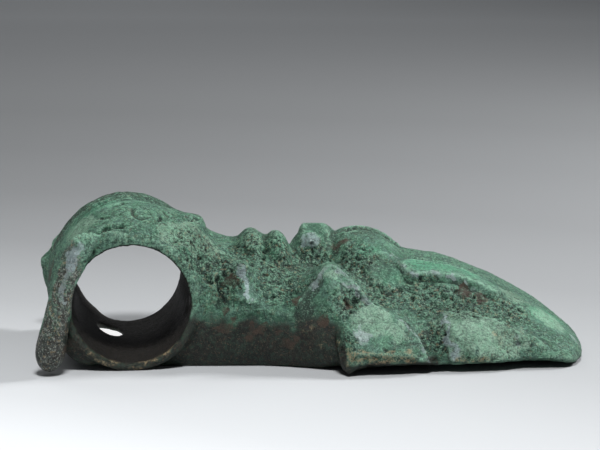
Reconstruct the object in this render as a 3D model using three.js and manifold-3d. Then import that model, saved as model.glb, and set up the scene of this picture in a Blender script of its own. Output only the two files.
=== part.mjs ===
// A shaft-hole axe head cast in one piece of bronze, lying on its cheek.
//
// The round socket takes the haft along Y. A waisted neck joins it to a broad, thick blade that flares towards
// a convex cutting edge at +X. The upper cheek is carved in high relief: a peak on each shoulder, a crown
// between them, a long ridged leaf that runs out to the edge, and two scallops along each side.
// Millimetres, +Z up. While it is made, X = 0 and Y = 0 are the middle of the haft's hole and the underside is
// Z = 0; the finished head is then moved so that the middle of its underside is the origin.

import * as THREE from "three";
import { mergeVertices } from "three/addons/utils/BufferGeometryUtils.js";
import Module from "manifold-3d";

const wasm = await Module();
wasm.setup();

// ---- Driving dimensions -------------------------------------------------------------------------------

const BORE_RADIUS = 14.75; // the haft's hole
const BORE_HEIGHT = 16.6; // from the underside to the middle of the hole
const SOCKET_HALF = 23; // half the length of the socket, along Y
const MOUTH_TILT = 2.6; // how far the foot of the near mouth stands out
const NECK_START = 2; // where the neck begins, in the foot of the socket
const EDGE_X = 118.8; // where the cutting edge stands furthest out

// The socket's outer skin, from the near mouth at -Y to the far one: how far it stands from the middle of
// the hole on each of the four sides.
const SOCKET = [
  { y: -23, left: 16.8, right: 17, up: 16.9, down: 16.6 },
  { y: -21, left: 18.4, right: 18.4, up: 18.6, down: 17 },
  { y: -15, left: 20, right: 20, up: 21.4, down: 16.9 },
  { y: -8, left: 20.9, right: 21, up: 23.8, down: 16.7 },
  { y: -2, left: 21.1, right: 20.4, up: 23.7, down: 16.3 },
  { y: 4, left: 21.4, right: 20, up: 24.2, down: 16.1 },
  { y: 11, left: 21, right: 19.8, up: 22.8, down: 16 },
  { y: 18, left: 19.4, right: 19, up: 19.6, down: 15.9 },
  { y: 23, left: 17, right: 17, up: 16.8, down: 15.9 },
];

// The neck and blade, along X: the half width, the height of the ridge, the height of the widest line, how
// far down the underside would reach, and how pinched the upper side and how square the lower side are.
const BLADE = [
  { x: 2, half: 22.8, top: 28, wide: 11, base: -5, pinch: 1, square: 0.5 },
  { x: 9, half: 23.6, top: 31, wide: 12, base: -5, pinch: 1, square: 0.5 },
  { x: 17, half: 24.6, top: 32.3, wide: 12, base: -5, pinch: 1, square: 0.5 },
  { x: 25, half: 25.5, top: 28.8, wide: 12, base: -5, pinch: 1, square: 0.5 },
  { x: 34, half: 26.4, top: 27.2, wide: 11, base: -5, pinch: 1, square: 0.5 },
  { x: 42, half: 29, top: 24.6, wide: 8.5, base: -4.4, pinch: 1.05, square: 0.5 },
  { x: 50, half: 32.6, top: 23, wide: 5, base: -3, pinch: 1.15, square: 0.6 },
  { x: 58, half: 34, top: 23.6, wide: 3, base: -1.6, pinch: 1.2, square: 0.75 },
  { x: 74, half: 33.4, top: 24.2, wide: 2.4, base: -1, pinch: 1.3, square: 0.85 },
  { x: 84, half: 34.8, top: 22.4, wide: 2.2, base: -0.8, pinch: 1.2, square: 0.85 },
  { x: 94, half: 35.4, top: 18.1, wide: 1.9, base: -0.6, pinch: 1.1, square: 0.85 },
  { x: 104, half: 35.7, top: 13, wide: 1.3, base: -0.5, pinch: 1, square: 0.85 },
  { x: 111, half: 34.8, top: 8.6, wide: 0.9, base: -0.4, pinch: 0.95, square: 0.85 },
  { x: 116, half: 23, top: 4.5, wide: 0.8, base: -0.3, pinch: 0.95, square: 0.85 },
  { x: 118.8, half: 5, top: 2, wide: 0.8, base: -0.2, pinch: 1, square: 0.85 },
];

// Rounded masses that swell out of the socket, neck and blade. Each has its middle and half sizes. `square` is
// the shape of each axis (2 is an egg, more is boxier, less is more pointed), `lean` is how far the top moves
// along X and Y for each millimetre of height, `narrow` is how much it tapers towards +X, and `blend` is the
// width of the fillet round its foot.
const SHOULDER = { at: [11.5, -4, 28], size: [9.8, 15, 8.6], lean: [-0.1, 0], square: [2.2, 2, 2.4], blend: 2 };
const KNOBS = [
  { at: [32.4, -1, 25], size: [3.9, 9, 6.6], blend: 0.6 },
  { at: [39.1, -1, 24], size: [3.4, 9, 6.4], blend: 0.6 },
];
const NECK_RIB = { at: [28.8, -20, 19], size: [3, 6.6, 7.4], lean: [-0.2, 0.4], blend: 0.8 };
const PEAK = {
  at: [50.8, -18, 11], size: [14.5, 14.6, 16.2], square: [1.15, 1.7, 1.25], lean: [-0.04, -0.16], blend: 2.5,
};
const FAR_PEAK = {
  at: [52.6, 17, 6], size: [10.4, 17, 22], square: [2, 1.8, 2.4], lean: [-0.05, 0.16], blend: 2.5,
};
const CROWN = {
  at: [63.4, 3, 15], size: [12.4, 17, 15.2], square: [2.2, 2, 2.2], lean: [-0.14, 0], narrow: 0.1, blend: 1,
};
const CROWN_KNOB = { at: [57, 3, 25.4], size: [2.8, 4.4, 4.4], blend: 0.6 };
const SCALLOP = {
  at: [63.2, -22, 1], size: [12.4, 16.4, 15], square: [4, 2.1, 2.2], lean: [-0.22, 0.12], blend: 0.5,
};
const SPUR = { at: [55.2, -33, 4], size: [3, 5.4, 6], lean: [-0.1, 0.2], blend: 1 };
const LESSER_SCALLOP = {
  at: [90.6, -23, 0.6], size: [14, 14, 13], square: [2.6, 2.1, 2.1], lean: [-0.26, 0.1], narrow: 0.24, blend: 0.8,
};

// Ridges and grooves worked along a line: its points, how wide it is on its -Y and +Y sides, and how far it
// rises or sinks.
const LEAF = {
  line: [[70, -13, 23], [72.5, -18, 20.8], [82, -18, 19.6], [90, -19.6, 16], [97, -21, 11]],
  wide: [2.4, 13],
  rise: 1.5,
};
const LEAF_CHANNEL = {
  line: [[66, -24, 18], [74, -24.6, 16.6], [84, -25, 14], [94, -25, 11], [106, -21, 7]],
  wide: [5, 5],
  rise: -1.4,
};
const LIP_ROLL = {
  line: [[-14, -22, 30], [-9.6, -22, 34], [-5.4, -21, 34.6], [-1, -19.6, 33.6], [5, -19, 33]],
  wide: [3.4, 3.4],
  rise: 1.7,
};
const BAND_GROOVE = {
  line: [[-19, -4, 26], [-12, -4, 36], [0, -3, 40], [9, 0, 38]],
  wide: [3.6, 3.6],
  rise: -1.1,
};
const NICKS = [
  { line: [[20, -24, 25], [21.6, -25.4, 15]], wide: [2.2, 2.2], rise: -1.6 },
  { line: [[17.2, -23, 27], [18, -24, 21]], wide: [1.8, 1.8], rise: -1.2 },
];

// ---- Curves and solids --------------------------------------------------------------------------------

/** The value of one field at x, on a smooth curve through the stations. */
function along(stations, key, field, x) {
  const last = stations.length - 1;
  const at = (n) => stations[THREE.MathUtils.clamp(n, 0, last)];
  let i = 0;
  while (i < last - 1 && x > at(i + 1)[key]) i += 1;
  const slope = (n) => (at(n + 1)[field] - at(n - 1)[field]) / (at(n + 1)[key] - at(n - 1)[key]);
  const span = at(i + 1)[key] - at(i)[key];
  const t = THREE.MathUtils.clamp((x - at(i)[key]) / span, 0, 1);
  const rise = t * t * (3 - 2 * t);
  const bend = t * (1 - t) ** 2 * slope(i) - t * t * (1 - t) * slope(i + 1);
  return at(i)[field] * (1 - rise) + at(i + 1)[field] * rise + span * bend;
}

/** A sine or cosine raised to a power, with its sign kept. */
function power(value, exponent) {
  return Math.sign(value) * Math.abs(value) ** exponent;
}

/** The mass or line turned over to the other side of the blade. */
function otherSide({ at, lean = [0, 0], line, ...rest }) {
  const turned = ([x, y, z]) => [x, -y, z];
  if (!line) return { at: turned(at), lean: [lean[0], -lean[1]], ...rest };
  return { ...rest, line: line.map(turned), wide: rest.wide.toReversed() };
}

/** Whether a point lies inside a mass. */
function holds({ at, size, square = [2, 2, 2], lean = [0, 0], narrow = 0 }, point) {
  const z = point.z - at[2];
  const x = (point.x - at[0] - lean[0] * z) / size[0];
  const slim = 1 - narrow * x;
  const y = (point.y - at[1] - lean[1] * z) / size[1];
  const sum = Math.abs(x) ** square[0] + Math.abs(y / slim) ** square[1] + Math.abs(z / size[2] / slim) ** square[2];
  return slim > 0 && sum < 1;
}

/** How far out along a ray the mass reaches, or 0 where the ray misses it. */
function reach(mass, from, way) {
  const point = new THREE.Vector3();
  const [far, step] = [48, 0.5];
  let out = far;
  while (out > 0 && !holds(mass, point.copy(from).addScaledVector(way, out))) out -= step;
  if (out <= 0) return 0;
  let [low, high] = [out, out + step];
  for (let i = 0; i < 8; i += 1) {
    const middle = (low + high) / 2;
    if (holds(mass, point.copy(from).addScaledVector(way, middle))) low = middle;
    else high = middle;
  }
  return low;
}

/** How much a line raises or sinks the skin at a point. */
function worked({ curve, wide, rise }, point) {
  const nearest = curve.reduce((best, p) => (p.distanceTo(point) < best.distanceTo(point) ? p : best));
  const away = nearest.distanceTo(point) / (point.y < nearest.y ? wide[0] : wide[1]);
  return away < 1 ? rise * (1 - away * away) ** 2 : 0;
}

/**
 * Rings of points with relief. `hub(u)` is the middle of each ring, `rim(u, a)` the plain skin's point at angle
 * a; every ray from hub to rim is drawn out to the masses and worked by the lines.
 */
function carved(stations, angles, hub, rim, masses, lines) {
  const curves = lines.map(({ line, ...rest }) => {
    const path = new THREE.CatmullRomCurve3(line.map((p) => new THREE.Vector3(...p)));
    return { curve: path.getSpacedPoints(40), ...rest };
  });
  return stations.map((u) =>
    angles.map((a) => {
      const from = hub(u);
      const way = rim(u, a).sub(from);
      const plain = way.length();
      way.normalize();
      const swell = (out, mass) => {
        const found = reach(mass, from, way);
        const near = Math.max((mass.blend ?? 1) - Math.abs(out - found), 0);
        return Math.max(out, found) + (near * near) / (4 * (mass.blend ?? 1));
      };
      const full = masses.reduce(swell, plain);
      const point = from.clone().addScaledVector(way, full);
      const change = curves.reduce((sum, line) => sum + worked(line, point), 0);
      return point.addScaledVector(way, change).toArray();
    }),
  );
}

/** The point drawn a share of the way towards the middle of two others. */
function drawn(point, before, after, share) {
  return point.map((v, k) => (1 - share) * v + (share / 2) * (before[k] + after[k]));
}

/** The rings with each point eased towards its neighbours, on the rings beside it and then on its own. */
function eased(rings) {
  const beside = rings.map((ring, r) => {
    const [before, after] = [rings[r - 1], rings[r + 1]];
    return before && after ? ring.map((p, s) => drawn(p, before[s], after[s], 0.5)) : ring;
  });
  return beside.map((ring) => ring.map((p, s) => drawn(p, ring.at(s - 1), ring[(s + 1) % ring.length], 0.3)));
}

/** A closed skin over rings of equal length, each ring a list of [x, y, z], capped at both ends. */
function skin(rings) {
  const sides = rings[0].length;
  const points = rings.flat();
  const middle = (ring) => [0, 1, 2].map((axis) => ring.reduce((sum, p) => sum + p[axis], 0) / sides);
  const first = points.push(middle(rings[0])) - 1;
  const last = points.push(middle(rings.at(-1))) - 1;
  const faces = [];
  const end = (rings.length - 1) * sides;
  for (let s = 0; s < sides; s += 1) {
    const n = (s + 1) % sides;
    faces.push(first, n, s);
    faces.push(last, end + s, end + n);
    for (let r = 0; r < end; r += sides) {
      faces.push(r + s, r + n, r + sides + n);
      faces.push(r + s, r + sides + n, r + sides + s);
    }
  }
  const made = new THREE.BufferGeometry();
  made.setAttribute("position", new THREE.Float32BufferAttribute(points.flat(), 3));
  made.setIndex(faces);
  return made;
}

/** The geometry as a solid that can be joined and cut. */
function solid(geometry) {
  const bare = geometry.clone();
  for (const name of Object.keys(bare.attributes)) {
    if (name !== "position") bare.deleteAttribute(name);
  }
  const merged = mergeVertices(bare, 1e-4);
  const made = new wasm.Manifold(
    new wasm.Mesh({
      numProp: 3,
      vertProperties: merged.attributes.position.array,
      triVerts: new Uint32Array(merged.index.array),
    }),
  );
  if (made.volume() <= 0) throw new Error("a skin is inside out");
  return made;
}

/** A round bar with domed ends along a smooth path of [x, y, z, radius]. */
function bar(path, { sides = 14, steps = 18 } = {}) {
  const line = new THREE.CatmullRomCurve3(path.map(([x, y, z]) => new THREE.Vector3(x, y, z)));
  const girth = path.map((p, i) => ({ t: i / (path.length - 1), radius: p[3] }));
  const rings = [];
  for (let step = 0; step <= steps; step += 1) {
    const t = 0.5 - 0.5 * Math.cos((Math.PI * step) / steps);
    const way = line.getTangent(t);
    const across = new THREE.Vector3(0, -1, 0).cross(way).normalize();
    const out = way.clone().cross(across).normalize();
    const dome = Math.sqrt(Math.max(1 - (2 * t - 1) ** 10, 0.03));
    const radius = along(girth, "t", "radius", t) * dome;
    const ring = [];
    for (let s = 0; s < sides; s += 1) {
      const a = (2 * Math.PI * s) / sides;
      const point = line.getPoint(t);
      point.addScaledVector(across, radius * Math.cos(a)).addScaledVector(out, radius * Math.sin(a));
      ring.push(point.toArray());
    }
    rings.push(ring);
  }
  return skin(rings);
}

/** Evenly spaced values from one end to the other, both ends kept. */
function spaced(from, to, steps) {
  return Array.from({ length: steps + 1 }, (_, i) => from + ((to - from) * i) / steps);
}

// ---- Socket -------------------------------------------------------------------------------------------

function socket() {
  const read = (side, y) => along(SOCKET, "y", side, y);
  const hub = (y) => new THREE.Vector3(0, y, BORE_HEIGHT);
  const rim = (y, a) => {
    const [across, up] = [Math.sin(a), Math.cos(a)];
    const x = across * read(across > 0 ? "right" : "left", y);
    return new THREE.Vector3(x, y, BORE_HEIGHT + up * read(up > 0 ? "up" : "down", y));
  };
  const stations = spaced(-SOCKET_HALF, SOCKET_HALF, 20);
  const angles = spaced(0, 2 * Math.PI, 52).slice(0, -1);
  const rings = carved(stations, angles, hub, rim, [SHOULDER], [LIP_ROLL, BAND_GROOVE]);
  return skin(eased(rings).map((ring) => ring.map(mouthTilt)));
}

/** Draws the foot of the near mouth out towards -Y. */
function mouthTilt([x, y, z]) {
  const mouth = THREE.MathUtils.smoothstep(-y, 12, SOCKET_HALF);
  const foot = 1 - THREE.MathUtils.smoothstep(z, 0, 2 * BORE_HEIGHT);
  return [x, y - MOUTH_TILT * mouth * foot, z];
}

/** The round hole for the haft, long enough to clear everything round both mouths. */
function bore() {
  return new THREE.CylinderGeometry(BORE_RADIUS, BORE_RADIUS, 4 * SOCKET_HALF, 56).translate(0, 0, BORE_HEIGHT);
}

/** The place where the thin floor of the socket has worn through. */
function wornSlot() {
  return new THREE.SphereGeometry(1, 14, 8).scale(3.8, 5.6, 4).translate(-5.4, 8.6, 2);
}

/** The end of the near lip: a bar that hangs free at the left of the mouth and rises into the roll. */
function nearBar() {
  return bar([
    [-20.8, -26.4, 0.8, 3.4],
    [-20, -27, 6.5, 3.9],
    [-18.6, -27.2, 13, 3.4],
    [-17, -26.8, 19.5, 3.2],
    [-14.9, -25.4, 26, 3.4],
    [-12, -23, 31.4, 3.4],
    [-7.6, -20.4, 33, 2],
  ]);
}

/** The fold behind the free end of the bar, at the foot of the near mouth. */
function nearFold() {
  return bar([
    [-16.6, -21, 11.6, 1.4],
    [-15, -22, 7, 2.8],
    [-11, -21.6, 3.4, 2.6],
    [-6, -20, 2, 1.2],
  ]);
}

/** The far mouth's shorter lip. */
function farBar() {
  return bar([
    [-19.2, 24, 9.2, 2.1],
    [-20.4, 24.4, 14, 2.4],
    [-20.7, 23.8, 19.4, 2.4],
    [-17.4, 22, 24.6, 2.1],
    [-12, 19, 31, 1.2],
  ]);
}

// ---- Neck and blade -----------------------------------------------------------------------------------

function neckAndBlade() {
  const read = (field, x) => along(BLADE, "x", field, x);
  const hub = (x) => new THREE.Vector3(x, 0, read("wide", x));
  const rim = (x, a) => {
    const y = read("half", x) * power(Math.cos(a), read("pinch", x));
    const z = (read("top", x) - read("wide", x)) * power(Math.sin(a), read("pinch", x));
    return new THREE.Vector3(x, y, read("wide", x) + z);
  };
  const stations = [
    ...spaced(NECK_START, 44, 20),
    ...spaced(45.5, 104, 39),
    ...spaced(0, 1, 9).slice(1).map((t) => 104 + (EDGE_X - 104) * Math.sin((Math.PI / 2) * t)),
  ];
  const nearMasses = [PEAK, SCALLOP, SPUR, LESSER_SCALLOP, NECK_RIB];
  const farMasses = [SCALLOP, LESSER_SCALLOP].map(otherSide);
  const masses = [SHOULDER, ...KNOBS, FAR_PEAK, CROWN, CROWN_KNOB, ...nearMasses, ...farMasses];
  const lines = [LEAF, LEAF_CHANNEL, ...NICKS, otherSide(LEAF), otherSide(LEAF_CHANNEL)];
  const rings = carved(stations, spaced(0, Math.PI, 36), hub, rim, masses, lines);
  return skin(eased(rings.map((ring) => [...ring, ...underside(ring, read)])));
}

/** The lower half of one ring: it turns in from both of the upper half's ends and runs flat. */
function underside(ring, read) {
  const [x, farY, z] = ring[0];
  const nearY = ring.at(-1)[1];
  const square = read("square", x);
  return spaced(Math.PI, 2 * Math.PI, 11).slice(1, -1).map((a) => {
    const side = Math.cos(a) > 0 ? farY : -nearY;
    return [x, side * power(Math.cos(a), square), z + (z - read("base", x)) * power(Math.sin(a), square)];
  });
}

// ---- The casting --------------------------------------------------------------------------------------

function casting() {
  const table = new THREE.BoxGeometry(400, 400, 40).translate(0, 0, -20);
  const masses = [neckAndBlade(), nearBar(), nearFold(), farBar()];
  const joined = masses.reduce((whole, mass) => whole.add(solid(mass)), solid(socket()));
  return [bore(), wornSlot(), table].reduce((whole, cut) => whole.subtract(solid(cut)), joined);
}

/** The finished shape, moved so that the middle of its underside is the origin. */
function placed(shape) {
  const { vertProperties, triVerts } = shape.getMesh();
  const made = new THREE.BufferGeometry();
  made.setAttribute("position", new THREE.Float32BufferAttribute(vertProperties, 3));
  made.setIndex(Array.from(triVerts));
  made.computeBoundingBox();
  const middle = made.boundingBox.getCenter(new THREE.Vector3());
  made.translate(-middle.x, -middle.y, -made.boundingBox.min.z);
  made.computeVertexNormals();
  return made;
}

const bronze = new THREE.MeshStandardMaterial({ color: 0x3f7a62, roughness: 0.75, metalness: 0.25 });
const axe = new THREE.Mesh(placed(casting()), bronze);
axe.name = "axe_head";

const part = new THREE.Group();
part.add(axe);
export default part;
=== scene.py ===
# %% [markdown]
# # A cast bronze axe head, green with age
#
# The real thing is one heavy casting: a round socket for the haft, a waisted neck, and a broad blade whose
# upper cheek is worked in high relief. It lay buried for thousands of years and came out with a green crust,
# smooth where it has been rubbed and gritty in the hollows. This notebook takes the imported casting, works its
# surface like clay, paints where each kind of patina lies, and lights it on a sheet of pale paper.
#
# First the frame is loaded, and its box is kept to compare the finished surface with.

import math

import bmesh
import bpy
import numpy as np
from mathutils import Matrix, Vector, noise
from mathutils.kdtree import KDTree


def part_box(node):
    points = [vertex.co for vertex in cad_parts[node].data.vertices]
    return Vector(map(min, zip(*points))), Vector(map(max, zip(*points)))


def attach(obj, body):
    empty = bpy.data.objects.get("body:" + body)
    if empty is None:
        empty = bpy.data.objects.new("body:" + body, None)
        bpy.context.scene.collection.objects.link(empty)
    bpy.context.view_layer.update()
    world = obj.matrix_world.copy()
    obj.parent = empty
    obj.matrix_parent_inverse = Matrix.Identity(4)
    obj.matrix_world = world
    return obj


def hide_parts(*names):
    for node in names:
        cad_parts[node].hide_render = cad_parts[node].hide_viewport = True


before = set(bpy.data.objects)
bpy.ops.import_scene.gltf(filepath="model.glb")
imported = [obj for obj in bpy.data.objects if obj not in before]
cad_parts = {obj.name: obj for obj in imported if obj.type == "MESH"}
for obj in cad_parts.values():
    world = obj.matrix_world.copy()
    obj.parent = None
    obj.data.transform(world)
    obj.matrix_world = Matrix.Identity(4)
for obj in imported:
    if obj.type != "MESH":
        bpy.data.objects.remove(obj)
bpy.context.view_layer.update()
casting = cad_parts["axe_head"]
MM = 0.001
low, high = (np.array(corner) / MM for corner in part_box("axe_head"))
print("the casting measures", np.round(high - low, 1), "mm")

# %% [markdown]
# The head is seen from the mouth of its socket, from a little above and turned slightly towards the blade. A
# long lens keeps the round mouth round. Two angles point the camera, which is easier to adjust by eye than
# three turns.

# %% Camera
YAW = math.radians(6.7)
PITCH = math.radians(10.1)
camera_data = bpy.data.cameras.new("view")
camera_data.lens = 108
camera_data.sensor_width = 36
camera_data.clip_start = 0.01
camera = bpy.data.objects.new("view", camera_data)
camera.location = Vector((-56.76, -463.34, 114.71)) * MM
camera.rotation_euler = (math.pi / 2 - PITCH, 0, -YAW)
bpy.context.scene.collection.objects.link(camera)
bpy.context.scene.camera = camera
print("the camera stands", round(camera.location.length, 3), "m from the middle of the head")

# %% [markdown]
# The casting's bold planes have crisp edges, which its own coarse mesh leaves a little round. The hull of a few
# corner points is the quickest way to such a facet, and a wax model is built up in much the same way, from
# pressed-on lumps.

# %% Blocks and balls
def block(clay, corners):
    """A closed block, the hull of its corners in millimetres."""
    points = [bmesh.ops.create_vert(clay, co=Vector(corner) * MM)["vert"][0] for corner in corners]
    hull = bmesh.ops.convex_hull(clay, input=points)
    bmesh.ops.delete(clay, geom=hull["geom_interior"] + hull["geom_unused"], context="VERTS")


def ball(clay, at, radii):
    """A stretched ball, for a rounded knob."""
    place = Matrix.Translation(Vector(at) * MM) @ Matrix.Diagonal((*(r * MM for r in radii), 1))
    bmesh.ops.create_icosphere(clay, subdivisions=4, radius=1, matrix=place)


print("a block is the hull of its corners")

# %% [markdown]
# Three blocks stand on the neck: a pointed peak, a square column behind it, and a slanted rib nearer to the
# socket. The corners of the face that shows come first, and the last few lie deep inside the casting.

# %% Corners of the neck's blocks
PEAK = [
    (1.6, -24.3, 25.7), (3.0, -23.8, 25.7), (6.2, -24.2, 23.2), (9.8, -26.2, 19.9), (13.5, -28.4, 15.4),
    (-2.3, -25.5, 21.2), (-6.3, -27.2, 16.5), (-4.6, -30.2, 9), (6, -33.0, 8), (12, -14, 15), (-3, -14, 14),
    (2.6, -15, 24),
]
COLUMN = [
    (-1.6, 2, 31.5), (-0.6, 2, 31.9), (4.4, 2, 31.8), (7.4, 3.5, 29.4), (-4.9, -2, 24.2), (-5.5, -8, 20),
    (6, -9, 21), (-1.2, 8, 30.6), (6, 8, 30), (-4, 10, 20), (8, 10, 20), (-1.8, -1.4, 30.2), (5.0, -1.4, 30.0),
]
RIB = [
    (-20.2, -20.4, 26.2), (-18.8, -20.2, 26.2), (-18.4, -27.6, 16.8), (-17.4, -27.4, 16.4),
    (-23.0, -19.6, 24.6), (-22.4, -25.0, 18.4), (-14.4, -18.4, 23.6), (-14.4, -25.2, 16.6), (-22, -12, 18),
    (-15, -12, 18),
]
print("the peak is", PEAK[0][2], "mm high and the column", COLUMN[1][2], "mm")

# %% [markdown]
# Four more make the cheek of the blade: the near plate, the spur that its foot ends in, the lobe beyond it, and
# the floor of the gap that parts them.

# %% Corners of the cheek's blocks
CHEEK = [
    (4.5, -31.4, 14.9), (7.3, -29.2, 16.5), (12.7, -27.2, 16.4), (16.5, -28.4, 14.9), (19.2, -31.0, 12.7),
    (23.2, -34.0, 9.4), (26.2, -37.4, 2.4), (25.8, -36.8, 1.0), (20.6, -37.8, 5.0), (7.0, -37.7, 5.6),
    (9.4, -36.8, 1.0), (3.0, -33.2, 8.0), (4.0, -36.4, 5.2), (5, -18, 6), (20, -18, 6), (23, -22, 1),
    (5, -22, 1),
]
SPUR = [
    (2.8, -34.0, 8.4), (9.0, -37.7, 6.0), (3.2, -36.2, 4.6), (4.9, -37.9, 0.9), (6.2, -37.9, 0.8),
    (9.4, -37.6, 3.6), (5.4, -36.4, 0.4), (3.6, -32, 1.6), (8, -30, 2), (8, -30, 8), (3.4, -30, 8),
]
GAP = [
    (22, -30, 10), (30, -27, 11), (25.5, -36.4, 1.6), (32, -36.2, 1.6), (25.5, -35.6, 0.6), (32, -35.6, 0.6),
    (22, -20, 1), (32, -20, 1), (22, -20, 12), (32, -20, 11),
]
LOBE = [
    (30.3, -26.0, 13.7), (30.8, -30, 10.9), (31.2, -37.2, 2.2), (31.5, -36.6, 0.8), (38, -27.6, 12.8),
    (46, -29, 10.6), (53, -31.6, 6.4), (57, -33, 2.8), (56.6, -32.8, 0.6), (44, -37.2, 1.4), (44, -36.2, 4.2),
    (33, -34.6, 8.6), (40, -15, 4), (31, -15, 4), (52, -18, 2), (31, -15, 1),
]
print("the gap between the plates is", GAP[3][0] - GAP[2][0], "mm wide at its foot")

# %% [markdown]
# A copy of the casting is welded, and the blocks are laid on it. They only overlap the casting here. The
# remesh that follows fuses them. Two balls give the round knobs on the back of the neck more body.

# %% Weld a copy and lay the blocks on it
WELD = 0.02 * MM
clay = bmesh.new()
clay.from_mesh(casting.data)
bmesh.ops.remove_doubles(clay, verts=clay.verts, dist=WELD)
for corners in (PEAK, COLUMN, RIB, CHEEK, SPUR, GAP, LOBE):
    block(clay, corners)
ball(clay, (-15.6, -3, 24.4), (4.3, 9.6, 7.3))
ball(clay, (-9.0, -3, 24), (3.6, 9.6, 6.9))
bmesh.ops.recalc_face_normals(clay, faces=clay.faces)
print("the clay has", len(clay.faces), "faces before it is fused")

# %% [markdown]
# A voxel remesh gives small even faces without any direction of their own, the way a lump of clay has none.
# It also fuses the blocks and the casting into one skin.

# %% Fuse into one even skin
VOXEL = 0.4 * MM


def fused(clay, name):
    """One even skin over everything in the clay."""
    mesh = bpy.data.meshes.new(name)
    clay.to_mesh(mesh)
    clay.free()
    piece = bpy.data.objects.new(name, mesh)
    bpy.context.scene.collection.objects.link(piece)
    remesh = piece.modifiers.new("even", "REMESH")
    remesh.mode = "VOXEL"
    remesh.voxel_size = VOXEL
    skin = bpy.data.meshes.new_from_object(piece.evaluated_get(bpy.context.evaluated_depsgraph_get()))
    piece.modifiers.clear()
    piece.data = skin
    return piece


head = fused(clay, "axe_head_bronze")
print("the skin has", len(head.data.vertices), "points")

# %% [markdown]
# From here on the skin is treated as an array of points, because a sculptor's strokes are simple sums on
# points: how far a point lies from a line decides how much it is pushed in or out. Blender's own sculpt
# brushes do the same, but they need a hand on the mouse.

# %% The skin as numbers
def read(collection, field, width, kind=float):
    values = np.empty(len(collection) * width, dtype=kind)
    collection.foreach_get(field, values)
    return values.reshape(-1, width)


class Skin:
    """The points of a mesh in millimetres, with the edges between them."""

    def __init__(self, mesh):
        self.mesh = mesh
        self.points = read(mesh.vertices, "co", 3) / MM
        self.edges = read(mesh.edges, "vertices", 2, np.int32)
        self.neighbours = np.bincount(self.edges.ravel(), minlength=len(self.points))[:, None]

    def write(self):
        self.mesh.vertices.foreach_set("co", (self.points * MM).ravel())
        self.mesh.update()

    def normals(self):
        self.write()
        return read(self.mesh.vertex_normals, "vector", 3)

    def around(self, values):
        """The mean of each point's neighbours."""
        one, other = self.edges.T
        columns = [
            np.bincount(one, column[other], len(values)) + np.bincount(other, column[one], len(values))
            for column in values.T
        ]
        return np.stack(columns, axis=1) / self.neighbours

    def relax(self, times, where=None):
        """Smooths the skin a little, as many times as asked, only where it is told to."""
        if where is None:
            for _ in range(times):
                self.points += 0.5 * (self.around(self.points) - self.points)
            return
        part = self.edges[(where[self.edges[:, 0], 0] > 0) & (where[self.edges[:, 1], 0] > 0)]
        used, local = np.unique(part, return_inverse=True)
        one, other = local.reshape(-1, 2).T
        count = np.bincount(one, minlength=len(used)) + np.bincount(other, minlength=len(used))
        points = self.points[used]
        for _ in range(times):
            mean = np.stack(
                [
                    np.bincount(one, column[other], len(used)) + np.bincount(other, column[one], len(used))
                    for column in points.T
                ],
                axis=1,
            )
            points += 0.5 * where[used] * (mean / count[:, None] - points)
        self.points[used] = points


skin = Skin(head.data)
skin.relax(4)
print("a face is about", round(VOXEL / MM, 2), "mm wide")
skin.write()

# %% [markdown]
# Every stroke follows a line. A few points give its course, a smooth curve joins them, and each point of the
# curve is dropped onto the nearest bit of skin, so a stroke never misses the surface that it works.

# %% Curves
def eased(low_end, high_end, value):
    """0 below the low end, 1 above the high end, and a smooth rise between them."""
    t = np.clip((value - low_end) / (high_end - low_end), 0, 1)
    return t * t * (3 - 2 * t)


def curved(course, spacing=0.35):
    """Points along a smooth curve through the course."""
    course = np.array(course, float)
    if len(course) == 1:
        return course
    ends = [2 * course[0] - course[1], *course, 2 * course[-1] - course[-2]]
    line = []
    for a, b, c, d in zip(ends, ends[1:], ends[2:], ends[3:]):
        steps = max(2, int(np.linalg.norm(c - b) / spacing))
        for t in np.arange(steps) / steps:
            cubic = 2 * b + (c - a) * t + (2 * a - 5 * b + 4 * c - d) * t**2 + (3 * b - a - 3 * c + d) * t**3
            line.append(cubic / 2)
    return np.array([*line, course[-1]])


print("a curve has a point every 0.35 mm")

# %% [markdown]
# A stroke needs to know, for each point of skin near its line, how far away it is, how far along the line it
# lies, and which way the line runs there. All of that is worked out once, when the line is laid. The search
# tree finds the nearest bit of skin quickly.

# %% Lines on the skin
tree = KDTree(len(skin.points))
for index, point in enumerate(skin.points):
    tree.insert(point, index)
tree.balance()


class Line:
    """A line laid on the skin, with the points of the skin that lie within reach of it."""

    def __init__(self, course, reach, drop=True):
        line = curved(course)
        if drop:
            line = np.array([tree.find(point)[0] for point in line])
            for _ in range(3):
                line[1:-1] = (line[:-2] + 2 * line[1:-1] + line[2:]) / 4
        inside = np.all((skin.points > line.min(0) - reach) & (skin.points < line.max(0) + reach), axis=1)
        self.near = np.flatnonzero(inside)
        gaps = np.linalg.norm(skin.points[self.near, None] - line[None], axis=2)
        nearest = gaps.argmin(axis=1)
        self.away = gaps.min(axis=1) / reach
        self.along = nearest / max(len(line) - 1, 1)
        self.off = skin.points[self.near] - line[nearest]
        self.way = np.gradient(line, axis=0)[nearest] if len(line) > 1 else np.zeros_like(self.off)

    def ends(self, share):
        """1 along the line, falling to 0 at both of its ends."""
        return eased(0, share, self.along) * eased(0, share, 1 - self.along) if share else 1


normals = skin.normals()
print("the tree holds", len(skin.points), "points")

# %% [markdown]
# These are the sculptor's tools. A stroke leaves a sharp ridge or groove, a swelling is broad and round, a
# terrace lifts one side of a line so that it ends in a step, a pull draws the skin along between finger and
# thumb, and a scrape presses it flat like the edge of a knife.

# %% Tools
def lift(line, heights):
    skin.points[line.near] += heights[:, None] * normals[line.near]


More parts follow.
